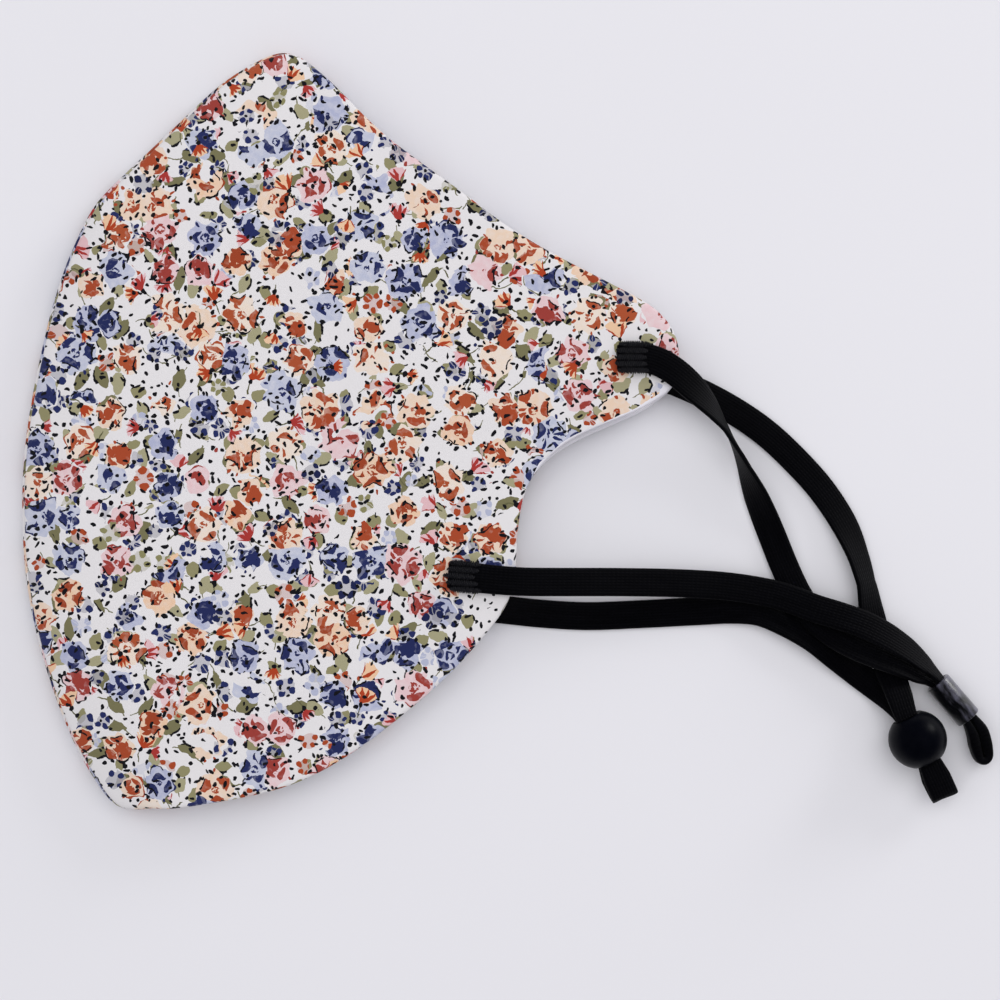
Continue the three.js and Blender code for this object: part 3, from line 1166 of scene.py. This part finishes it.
    def laid_out(self, vert: BMVert, hub: BMVert, printed: bool) -> Vector:
        """Where a vertex lies when its side of the cloth is laid out flat.

        Args:
            vert: the vertex.
            hub: the hub of the printed side.
            printed: True for a printed face or the rim.

        Returns:
            The place, in metres from the hub.
        """
        way = (vert.co - self.hub_of[vert].co).xy
        if way.length < 1e-9:
            return Vector((0.0, 0.0))
        reach = self.length[vert]
        if printed and self.hub_of[vert] is not hub:
            reach += self.wall
        return way.normalized() * reach + self.offset()

    def offset(self) -> Vector:
        """How far this half's print is shifted, so that the two halves differ."""
        return Vector((self.seed, self.seed)) * self.spread

    def bake_place(self, at: Vector, printed: bool) -> Vector:
        """Where a laid-out place goes in the baked map: the print large, the lining in a corner.

        Args:
            at: the laid-out place.
            printed: True for a printed face or the rim.

        Returns:
            The place in the map.
        """
        flat = at - self.offset()
        if printed:
            return flat / self.bake_span + Vector(self.print_middle)
        return flat * (self.lining_share / self.bake_span) + Vector(self.lining_middle)

    def soften(self, bm: BMesh) -> None:
        """Gives the cloth soft ripples, puckers it by the rim, and draws its seam out.

        Args:
            bm: the shell, subdivided.
        """
        inset = bm.verts.layers.float["from_rim"]
        for vert in bm.verts:
            x, y, z = vert.co
            depth = max(vert[inset], 0.0)
            near = math.exp(-depth / self.pucker_reach)
            long = noise.noise(Vector((x, y, self.seed)) / self.ripple_size)
            short = noise.noise(Vector((x, y, self.seed + self.pucker_shift)) / self.pucker_size)
            ripple = long * self.ripple * (1.0 - self.calm * near)
            move = ripple + short * self.pucker * (self.pucker_inside + near)
            sewn = min(max((self.seam_height - z) / self.seam_fade, 0.0), 1.0)
            pull = sewn * self.seam_out * math.exp(-depth / self.seam_reach)
            vert.co += Vector((x, y, 0.0)).normalized() * pull
            vert.co.z = max(z + move - self.seam_drop * pull, self.lowest)


# ---------------------------------------------------------------- ear loops


@dataclass(frozen=True)
class Stop:
    """A place that an ear loop passes, in millimetres, and how its width leans there, in degrees."""

    x: float
    y: float
    z: float
    lean: float = 0.0
    wide: float = 5.6
    thick: float = 1.1


# Each ear loop, from its end by the upper lobe, round its tail, and back by the lower lobe.
LEFT_STOPS = (
    Stop(52.7, 13.7, 10.3, 0, 6),
    Stop(57, 13.7, 10.3, 0, 5.8),
    Stop(60.4, 13, 10.3, 0, 5.7),
    Stop(63.7, 11.2, 10.2),
    Stop(67.2, 8.3, 9.4, 14),
    Stop(71, 4.6, 7.4, 46),
    Stop(74.1, 0.6, 5.4, 76),
    Stop(76.5, -3.7, 4, 90),
    Stop(78.4, -8, 3.6, 108),
    Stop(80.8, -13.6, 2.7, 140),
    Stop(83.7, -20.4, 1.5, 164),
    Stop(86.8, -28, 1.1, 176),
    Stop(89.4, -33.4, 1.5, 180),
    Stop(92.3, -37.4, 2.4, 184),
    Stop(95.8, -40.6, 3.2, 192),
    Stop(99.8, -43, 3.7, 200),
    Stop(104.4, -45, 4.1, 206),
    Stop(109, -46.9, 4.3, 214, 5.2),
    Stop(112.6, -48.7, 3.6, 224, 4.4, 1.15),
    Stop(114.6, -49.7, 2.7, 231, 3.2, 1.2),
    Stop(116.3, -50.8, 2.2, 235, 2.7, 1.2),
    Stop(119.2, -54.5, 2.4, 258, 2.7, 1.2),
    Stop(122.4, -58.1, 2.6, 270, 2.9, 1.5),
    Stop(123.6, -60.5, 2.5, 270, 3.5, 2.12),
    Stop(124.2, -62.9, 2.45, 270, 3.8, 2.3),
    Stop(124.75, -64.9, 2.4, 270, 3.6, 1.95),
    Stop(125.25, -65.75, 2.4, 270, 3.2, 1.75),
    Stop(126.15, -65.95, 2.4, 270, 3.2, 1.75),
    Stop(126.8, -65.3, 2.4, 270, 3.2, 1.75),
    Stop(126.8, -64.3, 2.4, 270, 3.6, 1.95),
    Stop(126.35, -62.2, 2.45, 270, 3.8, 2.3),
    Stop(125.65, -59.8, 2.5, 270, 3.5, 2.12),
    Stop(123.6, -57.1, 2.65, 270, 2.9, 1.5),
    Stop(120.6, -53.5, 2.85, 282, 2.7, 1.2),
    Stop(117.3, -50, 3.05, 305, 2.7, 1.2),
    Stop(115.8, -48.4, 3.5, 309, 3.2, 1.2),
    Stop(114, -46.7, 4.1, 316, 4.4, 1.15),
    Stop(110.6, -43.9, 4.8, 328, 5.2),
    Stop(106.4, -41.2, 5.1, 340),
    Stop(102.2, -39, 5.1, 348),
    Stop(97.2, -37.2, 4.8, 354),
    Stop(92.3, -35.7, 4.2, 358),
    Stop(88.3, -34.2, 3.6, 360),
    Stop(83.8, -32.8, 3.2, 360),
    Stop(75.4, -31.4, 3.3, 360),
    Stop(65.4, -30.7, 4.5, 360),
    Stop(53.4, -30.4, 6.5, 360),
    Stop(41.6, -30.3, 8.8, 360),
    Stop(34.6, -30.2, 9.9, 360),
    Stop(28.6, -29.8, 10.3, 360, 5.7),
    Stop(24, -29.3, 10.4, 360, 5.8),
    Stop(19.6, -28.9, 10.4, 360, 6),
)

RIGHT_STOPS = (
    Stop(51.6, 13, 0.6, 0, 6),
    Stop(55.6, 12.4, 0.6, 0, 5.8),
    Stop(59.6, 11.4, 0.6, 0, 5.7),
    Stop(64.8, 9.4, 0.6),
    Stop(71.1, 6.6, 0.6),
    Stop(77.5, 3, 0.6),
    Stop(83, -0.9, 0.6),
    Stop(88.2, -5.7, 0.6),
    Stop(93.8, -11.9, 0.8, 4),
    Stop(98.3, -18.8, 1.4, 16),
    Stop(100.9, -24.8, 2.1, 36),
    Stop(102.6, -30.6, 2.4, 44),
    Stop(103.6, -35.6, 1.9, 28),
    Stop(104.8, -40.6, 1, 8),
    Stop(106.2, -45, 1.2),
    Stop(107.6, -49, 2.9),
    Stop(108.8, -53, 5.3, 0, 5.2),
    Stop(110, -57, 6.55, 0, 4.4, 1.15),
    Stop(112.3, -61.5, 6.55, 0, 4.4, 1.2),
    Stop(114.6, -66, 6.5, 0, 4.6, 1.2),
    Stop(116.1, -69.1, 6.1, 0, 5.5, 1.2),
    Stop(117.35, -71.7, 5.6, 0, 5.5, 1.2),
    Stop(117.75, -72.5, 5.2, 0, 5.5, 1.15),
    Stop(117.8, -72.65, 4.75, 0, 5.5, 1.15),
    Stop(117.6, -72.3, 4.3, 0, 5.5, 1.15),
    Stop(117, -71.2, 4.1, 0, 5.5, 1.2),
    Stop(115.9, -69, 4.45, 0, 5.5, 1.2),
    Stop(114.6, -66, 4.95, 0, 4.6, 1.2),
    Stop(112.3, -61.5, 4.95, 0, 4.4, 1.2),
    Stop(110, -57, 4.95, 0, 4.4, 1.15),
    Stop(108.1, -54.6, 3.7, 0, 4.8),
    Stop(105.2, -52, 1.5, 0, 5.2),
    Stop(101.6, -49.2, 0.8, -4, 5.4),
    Stop(96.7, -45.4, 1.4, -16),
    Stop(91.9, -41.8, 1.9, -25),
    Stop(86.7, -38.8, 1.8, -22),
    Stop(81.6, -36.6, 1.4, -14),
    Stop(76, -36.1, 0.9, -6),
    Stop(69.6, -36.4, 0.6),
    Stop(58, -37, 0.6),
    Stop(47, -37.4, 0.6),
    Stop(38, -36.9, 0.6),
    Stop(30.4, -36.1, 0.6),
    Stop(25, -35.5, 0.6, 0, 5.8),
    Stop(20.2, -35.2, 0.6, 0, 6),
)


@dataclass
class EarLoop:
    """One flat strip of elastic, from a sewn end through its adjuster, round its tail and back."""

    node: str
    stops: tuple[Stop, ...]
    length: float
    under: bool
    steps: int = 5
    corners: int = 24
    steep: float = 0.35
    end_widths: tuple[float, ...] = (0.78, 0.96, 1.0)
    rings: list[Matrix] = field(default_factory=list, repr=False)

    def lay_out(self) -> None:
        """Works out the frame of each ring: across, through and along the strip, and its place."""
        across = None
        spans = len(self.stops) - 1
        for span in range(spans):
            one, two = self.stops[span], self.stops[span + 1]
            ends = 1 if span == spans - 1 else 0
            places = self.curve(span)[: self.steps + ends]
            for step, (at, run) in enumerate(places):
                share = step / self.steps
                across = self.across_run(run, across)
                lean = math.radians(one.lean + (two.lean - one.lean) * share)
                width = across * math.cos(lean) + across.cross(run) * math.sin(lean)
                through = width.cross(run)
                wide = (one.wide + (two.wide - one.wide) * share) / 2 * MM
                thick = (one.thick + (two.thick - one.thick) * share) / 2 * MM
                self.rings.append(basis(width * wide, through * thick, run, at))
        for rings in (self.rings, self.rings[::-1]):
            for ring, share in zip(rings, self.end_widths):
                ring.col[0] *= share

    def curve(self, span: int) -> list[tuple[Vector, Vector]]:
        """Points and directions along one span of the route.

        Args:
            span: the number of the stop that it starts from.

        Returns:
            The place and the direction of each step.
        """
        stops = [Vector((s.x * MM, s.y * MM, s.z * MM)) for s in self.stops]
        before = stops[span - 1] if span else stops[0] * 2 - stops[1]
        more = span + 2 < len(stops)
        after = stops[span + 2] if more else stops[-1] * 2 - stops[-2]
        one, two = stops[span], stops[span + 1]
        first, gap, last = (
            math.sqrt((b - a).length) for a, b in ((before, one), (one, two), (two, after))
        )
        leave = (one - before) / first - (two - before) / (first + gap) + (two - one) / gap
        reach = (two - one) / gap - (after - one) / (gap + last) + (after - two) / last
        leave, reach = leave * gap, reach * gap
        places = []
        for step in range(self.steps + 1):
            t = step / self.steps
            bend = one * 2 - two * 2 + leave + reach
            turn = two * 3 - one * 3 - leave * 2 - reach
            at = one + leave * t + turn * t**2 + bend * t**3
            run = leave + turn * (2 * t) + bend * (3 * t**2)
            places.append((at, run.normalized()))
        return places

    def across_run(self, run: Vector, before: Vector | None) -> Vector:
        """The level direction across a run, kept on the side that it had before.

        Args:
            run: the direction of the strip.
            before: the direction across it at the last ring.

        Returns:
            The direction across.
        """
        level = Vector((run.y, -run.x, 0.0))
        if before and level.length < self.steep:
            return (before - run * before.dot(run)).normalized()
        level.normalize()
        return -level if before and level.dot(before) < 0 else level

    def build(self, elastic: Material) -> Object:
        """Builds the strip.

        Args:
            elastic: its finish.

        Returns:
            The piece.
        """
        self.lay_out()
        bm = bmesh.new()
        across = bm.verts.layers.float.new("across")
        along = bm.verts.layers.float.new("along")
        circle = bmesh.ops.create_circle(bm, cap_ends=True, segments=self.corners, radius=1.0)
        ring = circle["verts"]
        for vert in ring:
            x, y, _ = vert.co
            vert.co = (math.copysign(abs(x) ** 0.5, x), math.copysign(abs(y) ** 0.5, y), 0.0)
            vert[across] = vert.co.x * self.rings[0].col[0].length
        bmesh.ops.transform(bm, matrix=self.rings[0], verts=ring)
        edges = bm.edges[:]
        run = 0.0
        for old, new in zip(self.rings, self.rings[1:]):
            grown = bmesh.ops.extrude_edge_only(bm, edges=edges)["geom"]
            ring = [g for g in grown if isinstance(g, BMVert)]
            edges = [g for g in grown if isinstance(g, BMEdge) and set(g.verts) <= set(ring)]
            bmesh.ops.transform(bm, matrix=new @ old.inverted(), verts=ring)
            run += (new.translation - old.translation).length
            width = new.col[0].xyz.normalized()
            for vert in ring:
                vert[across] = (vert.co - new.translation).dot(width)
                vert[along] = run
        bmesh.ops.edgeloop_fill(bm, edges=edges)
        bmesh.ops.recalc_face_normals(bm, faces=bm.faces)
        piece = new_piece(f"{self.node}_elastic", bm, elastic)
        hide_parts(self.node)
        return piece

    def declare(self, piece: Object, carried: Sequence[Object]) -> None:
        """Args:
            piece: the strip; not used.
            carried: its adjuster and the stitches at its ends; not used.
        """

    def stitches(self, thread: Material, seed: float) -> Object:
        """Builds the rows of satin stitches that hold both ends.

        Args:
            thread: their finish.
            seed: what makes these rows differ from the other loop's.

        Returns:
            The stitches of both ends, as one piece.
        """
        bm = bmesh.new()
        for end, way in ((self.rings[0], 1.0), (self.rings[-1], -1.0)):
            patch = StitchedPatch(end, way, -1.0 if self.under else 1.0, seed + way)
            patch.sew(bm)
        piece = new_piece(f"{self.node}_stitches", bm, thread)
        return piece


@dataclass(frozen=True)
class StitchedPatch:
    """Rows of close zigzag stitches over a strap's end, each a raised bar that runs along it."""

    end: Matrix
    way: float
    side: float
    seed: float
    rows: int = 5
    row_gap: float = 1.3 * MM
    row_length: float = 6.3 * MM
    pitch: float = 0.36 * MM
    thread: float = 0.34 * MM
    proud: float = 0.36 * MM
    overhang: float = 0.35 * MM
    corner: float = 0.7 * MM
    raggedness: float = 1.2 * MM
    unevenness: float = 0.06 * MM
    half_strap: float = 0.55 * MM
    roundness: float = 5.0

    def sew(self, bm: BMesh) -> None:
        """Adds the stitches to a mesh.

        Args:
            bm: the mesh to add to.
        """
        width = self.end.col[0].xyz.normalized()
        run = self.end.col[2].xyz.normalized() * self.way
        up = Vector((0.0, 0.0, self.side))
        sink = min(self.proud, 0.03 * MM) if self.side < 0 else self.proud
        count = int(self.row_length / self.pitch)
        for row in range(self.rows):
            off = (row - (self.rows - 1) / 2) * self.row_gap
            corner = self.corner * (2 * abs(off) / (self.row_gap * (self.rows - 1))) ** 2
            ragged = noise.noise(Vector((row * 3.7, self.seed, 0.5))) * self.raggedness + corner
            for stitch in range(count):
                along = ragged + (stitch + 0.5) * self.pitch - self.overhang
                slant = 0.3 + 0.25 * noise.noise(Vector((row * 1.9, stitch * 0.8, self.seed)))
                rise = self.unevenness * noise.noise(Vector((stitch * 1.3, row * 2.1, self.seed)))
                at = self.end.translation + width * off + run * along
                lift = self.half_strap + sink - 0.5 * self.thread + min(rise, 0.0)
                share = 2 * (stitch + 0.5) / count - 1
                full = math.sqrt(1 - abs(share) ** self.roundness)
                lie = width * full * math.cos(slant) + run * math.sin(slant)
                self.stitch(bm, at + up * lift, lie, up * full)

    def stitch(self, bm: BMesh, at: Vector, lie: Vector, up: Vector) -> None:
        """Adds one stitch: a short rounded length of thread over the bar.

        Args:
            bm: the mesh to add to.
            at: the stitch's middle.
            lie: the direction that the thread lies in, across the bar.
            up: the direction out of the strap.
        """
        over = up.cross(lie).normalized()
        high = self.thread * (0.5 if self.side > 0 else 0.3)
        place = basis(lie * self.row_gap * 0.54, over * self.thread * 0.56, up * high, at)
        bmesh.ops.create_uvsphere(bm, u_segments=10, v_segments=6, radius=1.0, matrix=place)


# ---------------------------------------------------------------- the adjusters


@dataclass(frozen=True)
class Adjuster:
    """Something that both runs of an ear loop pass through, with its heading in plan, in degrees."""

    node: str
    heading: float
    bore: float
    sides: int = 72

    def place(self) -> Matrix:
        """The turn and move that bring it from the origin, standing on +Z, to where it lies."""
        low, high = (Vector(corner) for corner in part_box(self.node))
        lie = Matrix.Rotation(math.pi / 2, 4, "Y")
        turn = Matrix.Rotation(math.radians(self.heading), 4, "Z")
        return Matrix.Translation((low + high) / 2) @ turn @ lie

    def tube(self, bm: BMesh, radius: float, length: float) -> list[BMEdge]:
        """Adds an open tube along Z.

        Args:
            bm: the mesh to add to.
            radius: its radius.
            length: its length.

        Returns:
            The edges round its two mouths.
        """
        made = bmesh.ops.create_cone(
            bm, cap_ends=False, segments=self.sides, radius1=radius, radius2=radius, depth=length
        )
        inside = set(made["verts"])
        return [e for e in bm.edges if e.is_boundary and set(e.verts) <= inside]

    def join(self, bm: BMesh, mouths: Sequence[BMEdge]) -> None:
        """Joins the inner and the outer edges round each mouth by a band of faces.

        Args:
            bm: the shape.
            mouths: the inner and the outer edges of both mouths.
        """
        for side in (-1.0, 1.0):
            edges = [e for e in mouths if e.verts[0].co.z * side > 0]
            bmesh.ops.bridge_loops(bm, edges=edges)
        bmesh.ops.recalc_face_normals(bm, faces=bm.faces)

    def finish(self, bm: BMesh, material: Material, slot: str) -> Object:
        """Turns the shape into the piece that takes the CAD node's place.

        Args:
            bm: the shape, at the origin along Z.
            material: its finish.
            slot: the record's name for its material; not used.

        Returns:
            The piece.
        """
        bmesh.ops.recalc_face_normals(bm, faces=bm.faces)
        bmesh.ops.transform(bm, matrix=self.place(), verts=bm.verts)
        piece = new_piece(f"{self.node}_body", bm, material)
        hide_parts(self.node)
        return piece

    def round_edges(self, bm: BMesh, edges: Sequence[BMEdge], width: float) -> None:
        """Rounds some of the edges round the mouths.

        Args:
            bm: the shape.
            edges: the edges.
            width: how far in the rounding starts.
        """
        bmesh.ops.bevel(
            bm,
            geom=edges,
            offset=width,
            offset_type="OFFSET",
            segments=4,
            profile=0.5,
            affect="EDGES",
            material=-1,
            clamp_overlap=True,
        )


@dataclass(frozen=True)
class RubberSleeve(Adjuster):
    """The short rubber tube that both runs of the upper ear loop pass through."""

    radius: float = 2.6 * MM
    length: float = 9.5 * MM
    inner_round: float = 0.1 * MM
    outer_round: float = 0.4 * MM

    def build(self, rubber: Material) -> Object:
        """Builds the sleeve.

        Args:
            rubber: its finish.

        Returns:
            The piece.
        """
        bm = bmesh.new()
        outer = self.tube(bm, self.radius, self.length)
        inner = self.tube(bm, self.bore, self.length)
        self.join(bm, outer + inner)
        self.round_edges(bm, inner, self.inner_round)
        self.round_edges(bm, [e for e in outer if e.is_valid], self.outer_round)
        return self.finish(bm, rubber, "sleeve_rubber")


@dataclass(frozen=True)
class RoundBead(Adjuster):
    """The round bead that both runs of the under ear loop pass through."""

    radius: float = 5.75 * MM
    lip: float = 0.35 * MM
    edge_round: float = 0.15 * MM

    def build(self, plastic: Material) -> Object:
        """Builds the bead.

        Args:
            plastic: its finish.

        Returns:
            The piece.
        """
        bm = bmesh.new()
        bmesh.ops.create_uvsphere(bm, u_segments=self.sides, v_segments=48, radius=self.radius)
        end = math.sqrt(self.radius**2 - (self.bore + self.lip) ** 2)
        for side in (-1.0, 1.0):
            whole = bm.verts[:] + bm.edges[:] + bm.faces[:]
            up = Vector((0.0, 0.0, side))
            bmesh.ops.bisect_plane(bm, geom=whole, plane_co=up * end, plane_no=up, clear_outer=True)
        outer = [e for e in bm.edges if e.is_boundary]
        inner = self.tube(bm, self.bore, 2 * end)
        self.join(bm, outer + inner)
        self.round_edges(bm, outer + inner, self.edge_round)
        return self.finish(bm, plastic, "bead_plastic")


# ---------------------------------------------------------------- the studio


@dataclass(frozen=True)
class Softbox:
    """A square area light that looks at the middle of the mask."""

    name: str
    azimuth: float
    elevation: float
    distance: float
    size: float
    power: float
    mirrored: bool = False

    def hang(self, middle: Vector) -> None:
        """Adds the light.

        Args:
            middle: what it looks at.
        """
        lamp = bpy.data.lights.new(self.name, "AREA")
        lamp.shape = "SQUARE"
        lamp.size = self.size
        lamp.energy = self.power
        held = linked(self.name, lamp)
        held.visible_glossy = self.mirrored
        turn = math.radians(self.azimuth)
        rise = math.radians(self.elevation)
        level = Vector((math.cos(turn), math.sin(turn), 0.0)) * math.cos(rise)
        away = level + Vector((0.0, 0.0, math.sin(rise)))
        held.location = middle + away * self.distance
        held.rotation_euler = away.to_track_quat("Z", "Y").to_euler()


@dataclass(frozen=True)
class Studio:
    """The pale floor, the soft light and the camera straight above."""

    centre: Vector = field(default_factory=lambda: Vector((0.0298, -0.0142, 0.0)))
    height: float = 0.4722
    lens: float = 85.0
    sensor: float = 36.0
    nearest: float = 0.02
    floor_size: float = 1.6
    ambient: float = 0.58
    sky: Colour = rgb("F4F4F7")
    lamps: tuple[Softbox, ...] = (
        Softbox("window", 41.0, 16.0, 1.5, 0.5, 6.5, mirrored=True),
        Softbox("overhead", 50.0, 74.0, 1.5, 1.4, 8.9),
        Softbox("left_fill", 160.0, 50.0, 1.5, 1.3, 3.9),
        Softbox("low_fill", 270.0, 50.0, 1.5, 1.3, 0.9),
    )

    def floor(self, board: Material) -> None:
        """Lays the floor.

        Args:
            board: its finish.
        """
        bm = bmesh.new()
        bmesh.ops.create_grid(bm, x_segments=1, y_segments=1, size=self.floor_size)
        bmesh.ops.translate(bm, verts=bm.verts, vec=(self.centre.x, self.centre.y, 0.0))
        linked("floor", new_mesh("floor", bm, board))

    def light(self) -> None:
        """Lights the set."""
        world = bpy.data.worlds.new("room")
        world.use_nodes = True
        room = world.node_tree.nodes["Background"]
        room.inputs["Color"].default_value = (*self.sky, 1.0)
        room.inputs["Strength"].default_value = self.ambient
        world.cycles_visibility.glossy = False
        bpy.context.scene.world = world
        for lamp in self.lamps:
            lamp.hang(self.centre)
        bpy.context.scene.view_settings.view_transform = "Standard"

    def camera(self) -> None:
        """Sets the camera straight above, with the mask's top edge up."""
        lens = bpy.data.cameras.new("above")
        lens.lens = self.lens
        lens.sensor_width = self.sensor
        lens.clip_start = self.nearest
        held = linked("above", lens)
        held.location = self.centre + Vector((0.0, 0.0, self.height))
        bpy.context.scene.camera = held


def main() -> None:
    """Builds the mask piece by piece and the set round it, and reports each piece."""
    logging.basicConfig(level=logging.INFO, format="%(name)s: %(message)s")
    studio = Studio()
    studio.camera()
    elastic = KnittedElastic().material()
    thread = BlackThread().material()
    tube = RubberSleeve("left_adjuster", heading=-49.0, bore=2.05 * MM)
    sleeve = tube.build(SoftRubber(tube.place().translation, tube.heading).material())
    ball = RoundBead("right_adjuster", heading=-63.0, bore=2.75 * MM)
    bead = ball.build(PolishedBead().material())
    pieces = [sleeve, bead]
    upper = EarLoop("left_ear_loop", LEFT_STOPS, length=0.2399, under=False)
    lower = EarLoop("right_ear_loop", RIGHT_STOPS, length=0.2335, under=True)
    for loop, adjuster, seed in ((upper, sleeve, 2.0), (lower, bead, 9.0)):
        strap = loop.build(elastic)
        stitches = loop.stitches(thread, seed)
        loop.declare(strap, [adjuster, stitches])
        pieces += [strap, stitches]
    print_cloth = FloralPrint().material()
    lining = WhiteLining().material()
    for half in (
        ClothHalf("left_panel", Side.UP, seed=0.0, sheet_area=0.0121, seam_out=1.0 * MM),
        ClothHalf("right_panel", Side.DOWN, seed=1.7, sheet_area=0.0127),
    ):
        pieces.append(half.build(print_cloth, lining))
    for piece in pieces:
        LOG.info("%s: %d faces", piece.name, len(piece.data.polygons))
    studio.floor(PaleFloor().material())
    studio.light()


if __name__ == "__main__":
    main()
